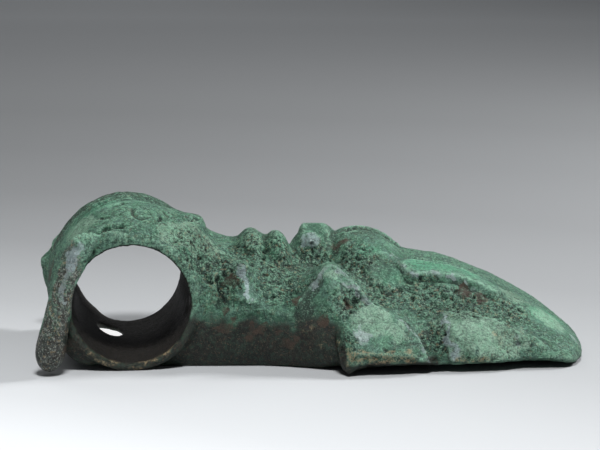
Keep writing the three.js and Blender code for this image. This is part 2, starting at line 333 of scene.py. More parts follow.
def stroke(course, width, height, crest=2.0, ends=0.15):
    """Raises a ridge, or cuts a groove where the height is negative. A high crest makes it sharp."""
    line = Line(course, width)
    lift(line, height * np.clip(1 - line.away, 0, 1) ** crest * line.ends(ends))


def swell(course, width, height, ends=0.15):
    """Raises a broad, round swelling."""
    line = Line(course, width)
    lift(line, height * np.clip(1 - line.away**2, 0, 1) ** 2 * line.ends(ends))


def terrace(course, towards, height, reach, soft=0.3, ends=0.12):
    """Raises the skin on one side of a line, so that it ends in a step."""
    line = Line(course, reach)
    across = np.cross(line.way, normals[line.near])
    across *= np.sign(across @ np.array(towards, float))[:, None]
    across /= np.linalg.norm(across, axis=1, keepdims=True) + 1e-9
    side = np.einsum("ij,ij->i", line.off, across)
    rise = eased(-soft, soft, side) * (1 - eased(0.2, 1, line.away))
    lift(line, height * rise * line.ends(ends))


def pull(at, radius, move, core=0.0):
    """Draws the skin round one place along a way, as if between finger and thumb."""
    gap = np.linalg.norm(skin.points - np.array(at, float), axis=1) / radius
    skin.points += (1 - eased(core, 1, gap))[:, None] * np.array(move, float)


def scrape(corners, soft=0.6, reach=2.5, share=1.0):
    """Presses the skin flat between three or more corners."""
    corners = np.array(corners, float)
    middle = corners.mean(0)
    out = np.linalg.svd(corners - middle)[2][2]
    if out @ normals[tree.find(middle)[1]] < 0:
        out = -out
    height = (skin.points - middle) @ out
    inside = np.full(len(skin.points), 1e9)
    for a, b in zip(corners, np.roll(corners, -1, axis=0)):
        inward = np.cross(out, b - a)
        inward /= np.linalg.norm(inward)
        inward *= np.sign((middle - a) @ inward)
        inside = np.minimum(inside, (skin.points - a) @ inward)
    weight = eased(-soft, soft, inside) * (1 - eased(0.6, 1, np.abs(height) / reach)) * share
    weight *= normals @ out > 0.2
    skin.points -= (weight * height)[:, None] * out


def moved(course, x=0, y=0, z=0):
    """The same course a little to one side."""
    return [(a + x, b + y, c + z) for a, b, c in course]


print("the tools are ready")

# %% [markdown]
# At the mouth of the socket a smooth rolled lip rises out of the hanging bar and arches over the hole, with a
# crease behind it and small rays across it. Its course is given as points, and the rays follow the hole's
# circle.

# %% Work the lip of the mouth
HOLE_X, HOLE_Z = -47.4, 16.6
MOUTH_Y = -22.2
LIP = [
    (-64, -25.4, 32.6), (-61.4, -24, 35.6), (-57.4, -22.8, 36.4), (-53.4, -22, 35.8), (-50, -21, 34),
    (-47.2, -20.4, 32.2),
]
terrace(LIP, (0, -1, -0.4), 0.6, 4.5, soft=0.3)
stroke(moved(LIP, y=1.6, z=0.8), 1.5, -1.2, crest=1.1)
NICKS = 12
for turn in range(NICKS):
    angle = math.radians(118 + 7.5 * turn)
    inner = np.array([HOLE_X + 14.9 * math.cos(angle), MOUTH_Y, HOLE_Z + 14.9 * math.sin(angle)])
    outer = inner + np.array([3.4 * math.cos(angle), -0.4, 3.4 * math.sin(angle)])
    stroke([inner, outer], 0.7, -0.4 if turn % 2 else 0.3, ends=0.1)
print("the lip has", NICKS, "small rays across it")

# %% [markdown]
# The lines of the band run side by side over the top of the socket, each as deep as it was pressed. Between
# them lie a few hooked and short cuts. All of these were in the wax, and corrosion has softened them since.

# %% Cut the band
BAND = [(-66, -6, 27), (-61, -5, 33.6), (-54, -4.5, 38.6), (-46, -3, 40.2), (-38, -1, 38)]
BAND_LINES = [
    (0, -0.8), (1.4, -0.5), (-1.5, -0.55), (3.2, -0.35), (-3.4, -0.35), (6, -0.4), (9, -0.45), (-6, -0.3),
    (12, -0.4),
]
for shift, depth in BAND_LINES:
    stroke(moved(BAND, y=shift), 0.9, depth, crest=1.3, ends=0.3)
stroke([(-46.2, -11, 38), (-46.6, -14, 37), (-44.6, -16, 36), (-42.4, -14.6, 37)], 0.8, -0.9, crest=1)
stroke([(-38.8, -9, 37.6), (-37, -11.6, 36.6), (-34.6, -10, 37)], 0.7, -0.7, crest=1)
SHORT_CUTS = [
    ((-50, -9, 38.6), 0.4), ((-43, -5, 39.6), 2.0), ((-40.4, -14, 35.4), 1.2), ((-35, -4, 38), 2.6),
    ((-31, -9, 36.6), 0.9), ((-53, -14, 36.6), 2.9),
]
for middle, turn in SHORT_CUTS:
    half = 1.8 * np.array([math.cos(turn), math.sin(turn), 0])
    bent = np.array(middle) + (0.4, -0.5, 0)
    stroke([middle - half, bent, middle + half], 0.7, -0.8, crest=1)
print("the band has", len(BAND_LINES), "lines and", len(SHORT_CUTS), "short cuts")

# %% [markdown]
# A few pulls set the outline right: the foot of the far bar swells, its point turns in, and the end of the
# socket's top hangs a little over the neck.

# %% Draw the socket's outline out
swell([(-61, 21, 10), (-57.6, 21, 5.6)], 6, 0.9, ends=0)
pull((-28.4, -6, 37.2), 7, (2.0, 0, 1.2), core=0.1)
pull((-70.2, 24, 18.4), 2.2, (-0.3, 0, 0.6))
pull((-69.4, 23, 22.4), 3, (1.8, 0, -0.6))
pull((-24, -5, 31.5), 5, (-0.6, 0, -0.8), core=0.1)
print("the socket is", round(float(skin.points[:, 2].max()), 1), "mm high")

# %% [markdown]
# The neck carries two knobs on its back and a rubbed rib on its side, with deep nicks between the rib and the
# mouth. Below the rib the metal is smooth and dark.

# %% Work the neck
stroke([(-25.4, -22.8, 26), (-24.8, -24, 20), (-24.4, -24.4, 15)], 1.6, -1.1, crest=1.2)
stroke([(-28.4, -22.4, 26), (-27.6, -23.2, 21.4)], 1.4, -0.9, crest=1.2)
stroke([(-26.8, -22.8, 26), (-26.2, -23.8, 20)], 0.8, 0.5)
stroke([(-23.4, -20.4, 25), (-22.8, -23.4, 20.6), (-21.6, -25.4, 16.6)], 1.1, -0.5, crest=1.2)
terrace([(-24, -24, 14.2), (-17, -26.2, 14), (-11, -25.6, 13), (-6, -26.4, 12)], (0, 0, 1), 0.6, 4, soft=0.8)


def settle(at, radius, times):
    """Smooths one round area, most in its middle."""
    gap = np.linalg.norm(skin.points - np.array(at, float), axis=1) / radius
    skin.relax(times, (1 - eased(0.5, 1, gap))[:, None])


HOLLOWS = (((-12, -14, 22), 6, 30), ((-5, -10, 21), 6, 30), ((1, -12, 20), 6, 30))
for at, radius, times in HOLLOWS:
    settle(at, radius, times)
settle((-4, -30, 9), 6, 40)
settle((-18, -24, 20), 7, 8)
normals = skin.normals()
print(len(HOLLOWS), "hollows behind the knobs are smooth")

# %% [markdown]
# The leaf is the longest form: a smooth lens that runs from behind the crown to the cutting edge. Its lower
# side stands over a rough channel as a crisp step, so it is a terrace with a ridge on it and a groove below.

# %% Work the leaf
LEAF_EDGE = [
    (20.8, -10.8, 24.2), (22.4, -14.8, 22.3), (23.8, -17.2, 21), (28.1, -16.8, 21.5), (34.6, -17, 20),
    (39.7, -17.8, 18), (43.5, -18.8, 15.9), (46.6, -19.8, 13.5),
]
terrace(LEAF_EDGE, (0, 1, 1), 1.1, 9, soft=0.25, ends=0.08)
stroke(LEAF_EDGE, 1.2, 0.5, crest=1.3, ends=0.1)
stroke(moved(LEAF_EDGE, y=-1.4, z=-0.6), 1.6, -0.8, crest=1.2, ends=0.1)
print("the leaf's edge drops", round(LEAF_EDGE[0][2] - LEAF_EDGE[-1][2], 1), "mm on its way")

# %% [markdown]
# The blocks' edges have gone soft in the remesh. A thin ridge along each one brings the crispness back.

# %% Sharpen the edges of the facets
FACET_EDGES = [
    [(1.6, -24.3, 25.7), (-2.3, -25.5, 21.2), (-6.3, -27.2, 16.5)],
    [(3, -23.8, 25.7), (6.2, -24.2, 23.2), (9.8, -26.2, 19.9), (13.5, -28.4, 15.4)],
    [(4.5, -31.4, 14.9), (3, -33.2, 8), (4, -36.4, 5.2)],
    [(7, -37.7, 5.6), (20.6, -37.8, 5), (26.2, -37.4, 2.4)],
    [(30.3, -26, 13.7), (30.8, -30, 10.9), (31.2, -37.2, 2.2)],
    [(9.4, -5, 28.2), (8.6, -10, 25.4), (7.8, -13, 22)],
]
for course in FACET_EDGES:
    stroke(course, 0.9, 0.45, crest=1.2, ends=0.1)
pull((0.4, -3, 27.6), 2.8, (-0.2, -1.0, 0.4))
print(len(FACET_EDGES), "edges are crisp")

# %% [markdown]
# The crown ends in a flat facet at the root of the leaf, and a thin rim runs along its top with a groove under
# it. The leaf's own long lines come last, because they start at that facet.

# %% Work the crown and the leaf's long lines
ROOT_FACET = [
    (20.8, -8.6, 24.9), (23.6, -16.9, 21.0), (17.1, -20.5, 17.6), (14.0, -18.5, 20.4), (13.9, -12.8, 24),
]
scrape(ROOT_FACET, soft=1.6, reach=3.5, share=0.8)
stroke([(13.4, -12.8, 24.6), (16.4, -10, 25.6), (20.8, -8.4, 25.2)], 0.9, 0.35, crest=1.2)
stroke([(20.8, -8.6, 24.9), (22.6, -12.4, 23.2), (23.6, -16.9, 21.2)], 1.6, 0.4, crest=1.4)
CROWN_RIM = [(9, 2, 29.4), (13, 3.4, 30.4), (18.3, 4.4, 29.2), (23, 4, 27), (26.2, 3.4, 24.8)]
stroke(CROWN_RIM, 1.1, 0.7, crest=1.2, ends=0.1)
stroke(moved(CROWN_RIM, y=-2, z=-0.4), 1.3, -0.7, crest=1.2, ends=0.1)
LONG_LINES = [(2.2, -0.7), (3.8, 0.6), (5.6, -0.7), (7.6, 0.5), (9.4, -0.6)]
for shift, depth in LONG_LINES:
    stroke(moved(LEAF_EDGE[1:], y=shift, z=0.3 * shift), 1.0, depth, crest=1.1, ends=0.2)
print("the leaf has", len(LONG_LINES), "long lines")

# %% [markdown]
# The cheek's two plates keep crisp sides. Their outer edge is chewed by corrosion, and a deep pit sits in the
# gap between them.

# %% Work the cheek
stroke([(4.2, -31.6, 15.6), (7.3, -28.8, 17.2), (12.9, -26.4, 17), (16.7, -27.2, 15.4)], 1.0, -0.7, crest=1)
stroke([(4.6, -30.8, 15.8), (8.4, -28.6, 17.2)], 0.9, -1.2, crest=1)
LOBE_TOP = [(30.5, -25.6, 13.8), (38, -26.8, 13), (46, -28.2, 10.8), (53, -31, 6.6), (57.5, -33, 2.6)]
terrace(LOBE_TOP, (0, -1, -0.3), 0.7, 5, soft=0.5)
stroke([(18.8, -30.6, 13.1), (23.4, -33.4, 9.1), (26.3, -36.9, 2.2)], 0.7, 0.25, crest=1.2)
skin.relax(1)
skin.write()
print("the relief is cut")

# %% [markdown]
# Bronze that has lain in wet ground grows a crust of copper salts: thick, gritty and pitted in the hollows,
# thin or rubbed away on the high places. So each area is told how much crust it carries, and the grit is real
# relief made of three sizes of noise.
#
# Each area is named with soft masks. Their edges are ragged, because the points are shifted by noise before
# they are measured. The noise has a seed, so the scene comes out the same in every run.

# %% Soft, ragged masks
def wandering(size, octaves=2, seed=0.0):
    """Cloudy noise between about 0 and 1, with lumps of the given size."""
    scaled = (skin.points / size + seed).tolist()
    return np.array([0.5 + 0.5 * noise.fractal(point, 1.0, 2.0, octaves) for point in scaled])


DRIFT_SEED = 3
noise.seed_set(DRIFT_SEED)
drift = np.array([noise.turbulence_vector(point, 3, False) for point in (skin.points / 3).tolist()])
shifted = skin.points + 1.6 * drift


def patch(*places):
    """How much each point belongs to a set of soft, ragged balls, each a place and a radius in millimetres."""
    amount = np.zeros(len(skin.points))
    for at, radius in places:
        gap = np.linalg.norm(shifted - np.array(at, float), axis=1) / radius
        amount = np.maximum(amount, 1 - eased(0.4, 1, gap))
    return amount


def smear(course, width):
    """How much each point belongs to a soft, ragged band along a line."""
    line = curved(course, 0.5)
    amount = np.zeros(len(skin.points))
    inside = np.all((shifted > line.min(0) - width) & (shifted < line.max(0) + width), axis=1)
    near = np.flatnonzero(inside)
    gaps = np.linalg.norm(shifted[near, None] - line[None], axis=2).min(axis=1) / width
    amount[near] = 1 - eased(0.3, 1, gaps)
    return amount


print("a mask wanders by up to", round(1.6 * float(np.abs(drift).max()), 1), "mm")

# %% [markdown]
# The crust is thick round the knobs, in the channel beside the leaf and on the shoulder. It is thin on the
# leaf, on the plates and where a hand would rub. Low on the neck it is almost gone, and the haft kept it out of
# the hole.

# %% Where the crust is thick
BORE = 15.1
clouds = wandering(5, 3)
x, y, z = skin.points.T
rough = patch(
    ((-15.6, -10, 27), 8), ((-8, -12, 25), 9), ((-10, -18, 20), 9), ((0, -9, 25), 8), ((11, -12, 25), 7),
    ((8, -16, 22), 8), ((6, -27, 16), 6), ((16, -22, 18), 8), ((28, -22, 16), 8), ((38, -24, 14), 8),
    ((48, -24, 10), 7), ((28, -31, 8), 5), ((5, -34, 8), 4), ((-30, -18, 30), 9), ((-24, -20, 24), 8),
)
smooth = patch(
    ((28, -12, 23), 6), ((36, -13, 20.5), 7), ((44, -14, 17), 7), ((13, -32, 11), 8), ((38, -32, 8), 7),
    ((-60, -24, 14), 12), ((-18, -26, 20), 3.4), ((2, -26, 22), 3.4), ((18, -16, 21.5), 5), ((-3, -27, 17), 5),
    ((2, 1, 31), 4), ((20, -6, 26), 5), ((60, -20, 6), 9), ((-60, -8, 34), 9), ((-48, -6, 39), 7),
)
low_side = 1 - eased(9, 15, z + 7 * (clouds - 0.5))
inside_hole = (np.hypot(x - HOLE_X, z - HOLE_Z) < BORE) & (np.abs(y) < 24.4)
crust = np.clip(0.32 + rough - smooth - 0.7 * low_side * (x < 4), 0.05, 1) * (1 - 0.75 * inside_hole)
print("crust covers", round(float((crust > 0.5).mean()) * 100), "% of the skin")

# %% [markdown]
# The grit is real relief, so that it catches the light from any side. Coarse and fine grains are rounded cells
# of noise, lumps make the crust uneven, and scattered pits are eaten into it.

# %% Grow the crust
def grit(size, seed=0.0):
    """Rounded grains, as heights from about -1 to 1."""
    scaled = (skin.points / size + seed).tolist()
    near, next_near = np.array([noise.voronoi(point)[0][:2] for point in scaled]).T
    return 1 - 2.2 * near


coarse = grit(1.5)
fine = grit(0.8, 7)
pitted = eased(0.62, 0.8, wandering(1.3, 2, 11))
lumps = wandering(3.2, 2, 5) - 0.5
relief = crust * (0.2 * coarse + 0.18 * fine + 0.5 * lumps - 0.8 * pitted) + 0.14 * lumps + 0.05 * fine
skin.points += relief[:, None] * skin.normals()
skin.relax(1)
print("the grit stands", round(float(relief.max()), 2), "mm high at most")

# %% [markdown]
# The blade doesn't lie flat out to its rim. Its lower edge curls up a little, which leaves a thin dark gap over
# the paper. The lift fades towards the cutting edge and the spur, which both nearly touch down.

# %% Curl the lower edge
normals = skin.normals()
x, y, z = skin.points.T
rim = np.flatnonzero((z > 0.3) & (z < 2.2) & (np.abs(normals[:, 2]) < 0.75) & (x > 3))
outline = KDTree(len(rim))
for index in rim:
    outline.insert((skin.points[index, 0], skin.points[index, 1], 0), int(index))
outline.balance()
under = np.flatnonzero((z < 3.2) & (x > -2))
gaps = np.array([outline.find((skin.points[index, 0], skin.points[index, 1], 0))[2] for index in under])
curl = 1.2 * (1 - eased(0, 10, gaps)) * (1 - eased(1.4, 3.2, z[under])) * eased(-2, 6, x[under])
curl *= 1 - 0.8 * eased(54, 66, x[under])
curl *= eased(2.5, 6, np.hypot(x[under] - 5, y[under] + 37.5))
skin.points[under, 2] += curl
print("the rim is lifted by", round(float(curl.max()), 2), "mm")

# %% [markdown]
# Hollows and crests are measured by comparing the skin with a smoothed copy of itself. A point that lies
# below the smooth copy is in a pit, which keeps dirt and dark salts. One that stands above it is rubbed pale.
# The broad hollows found this way are later darkened as painted shade.

# %% Measure pits and crests
worked = skin.points.copy()
outward = skin.normals()
skin.relax(8)
fine_height = ((worked - skin.points) * outward).sum(1)
skin.relax(50)
broad_height = ((worked - skin.points) * outward).sum(1)
skin.points = worked
skin.write()
print("fine relief", np.round(np.percentile(fine_height, [2, 98]), 2), "mm")

# %% [markdown]
# The patina is not one colour. Each kind lies where its cause is: rubbed metal on the crests, earth in the
# hollows, bare dark bronze under the neck and inside the hole. Some layers are painted light instead: shade
# where faces turn from the lamps or sink into creases, and sheen and highlights on rubbed places. They are
# painted as soft patches on the skin, one number for each point, and the finish reads them by name.

# %% Paint by name
def painted(name, amount):
    """Keeps one number for each point of the skin under a name."""
    layer = head.data.attributes.new(name, "FLOAT", "POINT")
    layer.data.foreach_set("value", np.clip(amount, 0, 1).astype(np.float32))


ragged = wandering(2.2, 3, 21)


def torn(amount, edge=0.5):
    """The same patches with ragged edges."""
    return eased(0.35, 0.75, amount + edge * (ragged - 0.5) * (amount > 0.01))


def most(*amounts):
    """The strongest of several amounts at each point."""
    return np.max(amounts, axis=0)


painted("crust", crust)
print("the crust is painted")

# %% [markdown]
# High ridges are rubbed grey: the bar's front, the rib, the peak's edges, the rims of the plates and of the
# leaf. That pale grey is partly wear and partly a painted sheen. On a few spots among them a still paler grey
# is a painted highlight, where polished metal would catch the light.

# %% Paint rubbed metal with painted sheen, and painted highlights
# Rubbed wear, painted paler as a sheen too.
rubbed = most(
    patch(((0.4, -2.6, 28), 2.6), ((9, -34.6, 9.4), 3.6), ((49, -31.6, 6), 2.4), ((56, -32, 4), 3)),
    patch(((66, -24, 5), 3)),
    smear([(-60.4, -27.6, 32.6), (-62.6, -29, 27), (-64.6, -29.6, 20)], 2.0),
    smear([(-19.6, -22, 25), (-18.4, -25, 20.5), (-17.8, -27.6, 17)], 1.8),
    smear([(-3, -25.4, 20.4), (2.2, -24.2, 25.4), (6.2, -24.4, 23), (13, -28, 16)], 1.6),
    smear([(5, -27, 22), (9, -28, 18)], 1.8),
    smear([(19.2, -31, 12.7), (23.2, -34, 9.4), (26, -37, 2.6)], 1.4),
    smear([(20.8, -8.6, 25), (23.6, -16.9, 21.4), (30, -16.8, 21.4), (38, -17.4, 18.6), (44, -19, 15.6)], 1.2),
    smear([(30.6, -26.4, 13.4), (31, -30.4, 10.4), (31.8, -36.4, 3)], 1.6),
    smear([(-38.6, -20, 29), (-34, -20, 23), (-31.6, -20.6, 16)], 2.0),
)
# Painted highlights: the palest grey spots on the rib, the bar's top, the column's knob and a few plate edges.
polished = most(
    smear([(-19.6, -21, 25.4), (-18.6, -24.6, 21), (-17.9, -27.6, 16.8)], 1.7),
    patch(((-0.2, -3, 27.4), 3.3), ((24.4, -17, 21.2), 1.6), ((31, -30, 10.8), 2.2)),
    smear([(-58.6, -26.8, 34.4), (-61, -28, 31.4), (-62.6, -29, 28)], 2.6),
    smear([(31, -28, 12), (31.4, -32, 8.6), (32.6, -35.6, 4.2)], 1.6),
    smear([(-36, -20, 27), (-33.4, -20, 22)], 1.6) * 0.8,
)
painted("rubbed", torn(rubbed))
painted("polished", torn(polished, 0.7))
print("rubbed metal covers", round(float((rubbed > 0.5).mean()) * 100, 1), "% of the skin")

# %% [markdown]
# Pale earth clings to the lower rims of the plates and to the foot of the mouth. Brown iron stains lie in a few
# nicks and over the dark neck, where they are faint.

# %% Paint earth and brown stains
FOOT_OF_MOUTH = [
    (HOLE_X + 15.8 * math.cos(angle), -24.2, HOLE_Z + 15.8 * math.sin(angle))
    for angle in map(math.radians, range(230, 320, 10))
]
earthy = most(
    smear([(6, -37.4, 5.2), (13, -37.6, 4.6), (21, -37.6, 4.2)], 2.4),
    smear([(33, -36.4, 3), (40, -36.6, 2.4)], 1.8) * 0.9,
    smear(FOOT_OF_MOUTH, 1.8),
    patch(((2.8, -33.6, 8), 2), ((35, -36.6, 2.6), 2), ((44, -33, 7.4), 2.4)),
    *(0.4 * smear([(across, -29, 12), (across + 1, -33, 4)], 1.2) for across in (-6, -3.4, -1)),
)
brown = most(
    patch(
        ((-6.4, -25, 16.6), 2.2), ((38, -19.6, 17), 3), ((42, -21, 15), 2.4), ((-22.4, -21.6, 22.4), 3.2),
        ((-69, 6, 28), 5), ((-68, -8, 23), 5), ((-68, -27.6, 11), 2.6), ((0.6, -30, 12.6), 2.6),
        ((6.4, -29.4, 16.4), 1.8), ((7.6, -4, 27), 2.6), ((-64, -28, 6), 3),
    ),
    0.56 * patch(((-16, -28, 9), 7), ((-9, -29, 8), 6), ((-24, -26, 12), 5)),
)
painted("earthy", torn(earthy, 0.8))
painted("brown", torn(brown))
print("earth covers", round(float((earthy > 0.5).mean()) * 100, 1), "% of the skin")

# %% [markdown]
# The greens differ from place to place. The leaf and the top of the band are vivid, and the plates and the
# shoulder are pale as if powdered. The far side of the top and a few faces turned from the key lamp, on the
# knobs, the column, the crown and the peak, are painted a darker green as shade.

# %% Paint the greens and the painted shade
vivid = patch(
    ((28, -12, 23), 6), ((34, -12, 22), 6), ((40, -13, 19), 5), ((18, -16, 21.6), 4.6), ((2, 0, 30), 5),
    ((14, -10, 26), 5), ((-56, -4, 38), 7), ((-34, -18, 32), 6), ((58, -20, 9), 6), ((-10, -8, 28), 6),
    ((62, -14, 7), 5),
)
powdery = patch(
    ((12, -31.8, 13), 7.6), ((18, -33.4, 10), 5), ((33, -30, 11), 7), ((39, -31, 9), 8), ((47, -32, 7), 7),
    ((0.4, -3, 28), 3), ((34, -34.4, 7), 6), ((42, -35.4, 5), 6), ((-31, -15, 32), 8), ((-26, -14, 31), 7),
    ((-37, -18, 33), 7), ((60, -20, 9), 7), ((52, -16, 14), 6), ((-60, -12, 34), 7), ((3, -24.6, 23), 2.6),
    ((-15.6, -8, 29), 4),
)
# Painted shade: a darker green where faces turn away from the key lamp.
shade = patch(
    ((-66, 7, 32), 9), ((-58, 4, 38), 10), ((-48, 5, 40), 10), ((-38, 5, 38), 9), ((2, 2, 31), 7),
    ((5, -2, 29), 4), ((16, -14, 21.6), 7), ((-16, -2, 30), 5), ((-10, -4, 29), 5), ((14, 2, 30), 7),
    ((-4, -28, 15), 6),
)
painted("vivid", vivid)
painted("powdery", torn(powdery, 0.9))
painted("shade", shade)
print("the greens are painted")

# %% [markdown]
# Dark salts fill the long grooves and the pits behind the knobs. The same dark is painted as shade on the
# peak's flank, in the creases under the lip, the leaf's step and the crown's rim, beside the bar and over the
# far side of the top. The hanging bar is a mixture of its own, grey, brown and green, and more so towards its
# foot.

# %% Paint dark lines and the mottled bar
# Dark salts in the grooves, and painted shade in the creases, on the peak's flank and on the far side of the
# top.
deep = most(
    smear([(-1, -24.6, 22.4), (-3.4, -26, 18.6), (-5, -28.6, 13.4), (-4.6, -30.4, 9)], 3.2),
    smear(moved(LIP, y=1.2, z=0.7), 1.3),
    smear([(-63.4, -26.6, 27), (-64.6, -26, 20), (-65.4, -25.6, 12)], 1.0),
    smear([(4.2, -31.8, 15.2), (7.3, -28.6, 17.4), (12.9, -26.2, 17.2), (16.7, -27, 15.6)], 0.9),
    smear([(19.6, -30.6, 12.6), (23.8, -33.6, 9), (26.8, -36.8, 2.4)], 1.1),
    smear(moved(CROWN_RIM, y=-2), 1.3),
    smear(moved(LEAF_EDGE, y=-1.2, z=-0.8), 1.1),
    patch(((-7.5, -12, 22), 3.6), ((-1, -10, 22), 3), ((7.6, -4, 25), 2.6), ((26, -31, 9), 3)),
    patch(((-24.6, -24, 17), 3)),
    smear([(-66, 4, 30), (-62, 5, 35), (-54, 6, 38), (-46, 7, 40)], 7) * 0.72,
    smear([(3.6, -34, 6), (4.2, -36.6, 4), (5.2, -37.8, 1.4)], 2.4) * 0.8,
)
painted("deep", torn(deep, 0.8))
mottled = smear([(-62, -27, 31), (-64, -29, 22), (-66.4, -29, 12), (-68, -28, 3)], 5)
painted("mottled", mottled * (0.55 + 0.45 * eased(4, 16, 34 - z)))
print("dark lines cover", round(float((deep > 0.5).mean()) * 100, 1), "% of the skin")

# %% [markdown]
# The last layers follow from the shape itself: pits and crests in the grain, broad hollows for painted shade
# and ridges, the bare dark bronze low on the neck and along the blade's foot, and the inside of the hole.

# %% Paint what the shape tells
painted("pits", eased(0.02, 0.16, -fine_height))
painted("crests", eased(0.02, 0.14, fine_height))
# Painted shade: the broad hollows darken the crust where less light reaches.
painted("hollows", eased(0.05, 0.8, -broad_height))
painted("ridges", eased(0.05, 0.7, broad_height))
bare_neck = low_side * (x < 5) * (1 - 0.5 * rough)
foot = (1 - eased(2.2, 4.8, z + 3 * (clouds - 0.5))) * (x > 2)
bare_foot = (0.95 - 0.65 * (x > 28)) * foot
painted("bare", np.maximum(bare_neck, bare_foot))
painted("hole", inside_hole.astype(float))
print("there are", len(head.data.attributes), "layers in all")

# %% [markdown]
# The even skin has more triangles than a piece may have. Decimate joins the faces where the surface is nearly
# flat and leaves the grit alone, and it carries the painted layers over.

# %% Thin the skin where it is smooth
LIMIT = 196_000
skin.write()
head.data.polygons.foreach_set("use_smooth", [True] * len(head.data.polygons))
triangles = sum(len(face.vertices) - 2 for face in head.data.polygons)
thin = head.modifiers.new("thin", "DECIMATE")
thin.ratio = LIMIT / triangles
lean = bpy.data.meshes.new_from_object(head.evaluated_get(bpy.context.evaluated_depsgraph_get()))
head.modifiers.clear()
head.data = lean
print("from", triangles, "to", sum(len(face.vertices) - 2 for face in head.data.polygons), "triangles")

# %% [markdown]
# The worked surface must not reach past the casting, because the casting's sizes are the true ones. So every
# point is held a hundredth of a millimetre inside its box.

# %% Keep inside the casting's own box
MARGIN = 0.01
points = read(head.data.vertices, "co", 3) / MM
points = np.clip(points, low + MARGIN, high - MARGIN)
head.data.vertices.foreach_set("co", (points * MM).ravel())
head.data.update()
print("the head measures", np.round(np.ptp(points, axis=0), 1), "mm")

# %% [markdown]
# A finish is built from nodes, but it reads best as sums. One small class stands for a socket and turns
# Python's own operators into Math nodes; every other node is added by one method of the finish.

# %% Sockets as values
class Value:
    """One output of a node. Sums, products and powers of values add Math nodes."""

    def __init__(self, finish, socket):
        self.finish = finish
        self.socket = socket

    def maths(self, operation, first, second):
        return self.finish.add("ShaderNodeMath", {"operation": operation}, {0: first, 1: second})

    def __add__(self, other):
        return self.maths("ADD", self, other)

    def __sub__(self, other):
        return self.maths("SUBTRACT", self, other)

    def __mul__(self, other):
        return self.maths("MULTIPLY", self, other)

    def __rsub__(self, other):
        return self.maths("SUBTRACT", other, self)

    __radd__ = __add__
    __rmul__ = __mul__

    def between(self, start, end):
        """0 below the start, 1 above the end, and a smooth rise between them."""
        settings = {"interpolation_type": "SMOOTHSTEP"}
        return self.finish.add("ShaderNodeMapRange", settings, {0: self, 1: start, 2: end})


print("sums and products of values are nodes now")

# %% [markdown]
# A finish holds a material and adds nodes to it. Every node that isn't plain maths comes from one method, which
# sets the node up first and then fills or links its sockets.

# %% A finish and its nodes
class Finish:
    """A material and the means to add nodes to it."""

    def __init__(self, name):
        self.material = bpy.data.materials.new(name)
        self.material.use_nodes = True
        self.nodes = self.material.node_tree.nodes
        self.surface = self.nodes["Principled BSDF"]

    def set(self, node, inputs):
        for key, value in inputs.items():
            if isinstance(value, Value):
                self.material.node_tree.links.new(value.socket, node.inputs[key])
            else:
                node.inputs[key].default_value = value

    def add(self, kind, settings=None, inputs=None, output=0):
        node = self.nodes.new(kind)
        for key, value in (settings or {}).items():
            if key == "stops":
                self.fill(node.color_ramp, value)
            else:
                setattr(node, key, value)
        self.set(node, inputs or {})
        return Value(self, node.outputs[output])

    def fill(self, ramp, stops):
        """Gives a ramp its stops, each a place and a colour."""
        while len(ramp.elements) < len(stops):
            ramp.elements.new(0.5)
        for element, (place, colour) in zip(ramp.elements, stops):
            element.position = place
            element.color = colour

    def layer(self, name):
        """A layer that was painted on the skin."""
        return self.add("ShaderNodeAttribute", {"attribute_name": name}, output="Fac")

    def noise(self, size, detail=3.0, roughness=0.6, place=None):
        """Cloudy noise whose lumps have the given size in millimetres."""
        scale = 1 / (size * MM)
        inputs = {"Vector": place or self.place, "Scale": scale, "Detail": detail, "Roughness": roughness}
        return self.add("ShaderNodeTexNoise", {}, inputs)

    def mix(self, amount, first, second):
        """From the first colour to the second. The Mix node keeps its colours in sockets 6 and 7."""
        return self.add("ShaderNodeMix", {"data_type": "RGBA"}, {0: amount, 6: first, 7: second}, output=2)


def paint(red, green, blue):
    """A colour as it looks on a colour card, 0 to 255, turned into light."""
    shares = [value / 255 for value in (red, green, blue)]
    parts = [(share + 0.055) / 1.055 if share * 255 > 10 else share / 12.92 for share in shares]
    return (*(part**2.4 for part in parts), 1)


print("a mid green is", [round(value, 3) for value in paint(80, 122, 100)[:3]])

# %% [markdown]
# Old bronze is a pile of thin layers, and the finish is made in the same order. Noises of several sizes chip
# the edges of the painted layers, because real crust breaks off in grains and never ends in a soft blur.

# %% Grains and coats
def grainy(name):
    """A finish with the noises that break up its layers, from clouds 9 mm across down to dust."""
    finish = Finish(name)
    finish.place = finish.add("ShaderNodeTexCoord", output="Object")
    finish.clouds = finish.noise(9, 4).between(0.35, 0.65)
    finish.blotches = finish.noise(2.6, 4, 0.65).between(0.42, 0.6)
    finish.specks = finish.noise(0.5, 3, 0.75)
    finish.dust = finish.noise(0.25, 2, 0.7)
    finish.flecks = finish.noise(1.1, 4, 0.75)
    finish.salts = finish.noise(0.9, 2, 0.6)
    finish.chipped = 0.6 * (finish.flecks - 0.5) + 0.6 * (finish.specks - 0.5)
    return finish


def flaked(finish, name, start=0.4, end=0.58):
    """A painted layer whose edge is chipped as finely as the grain of the crust."""
    return (finish.layer(name) + finish.chipped).between(start, end)


def coated(finish, colour, coats):
    """Lays one coat after another over a colour, each where its own amount is high."""
    for amount, tint in coats:
        colour = finish.mix(amount, colour, paint(*tint))
    return colour


print("a coat is an amount and a colour")
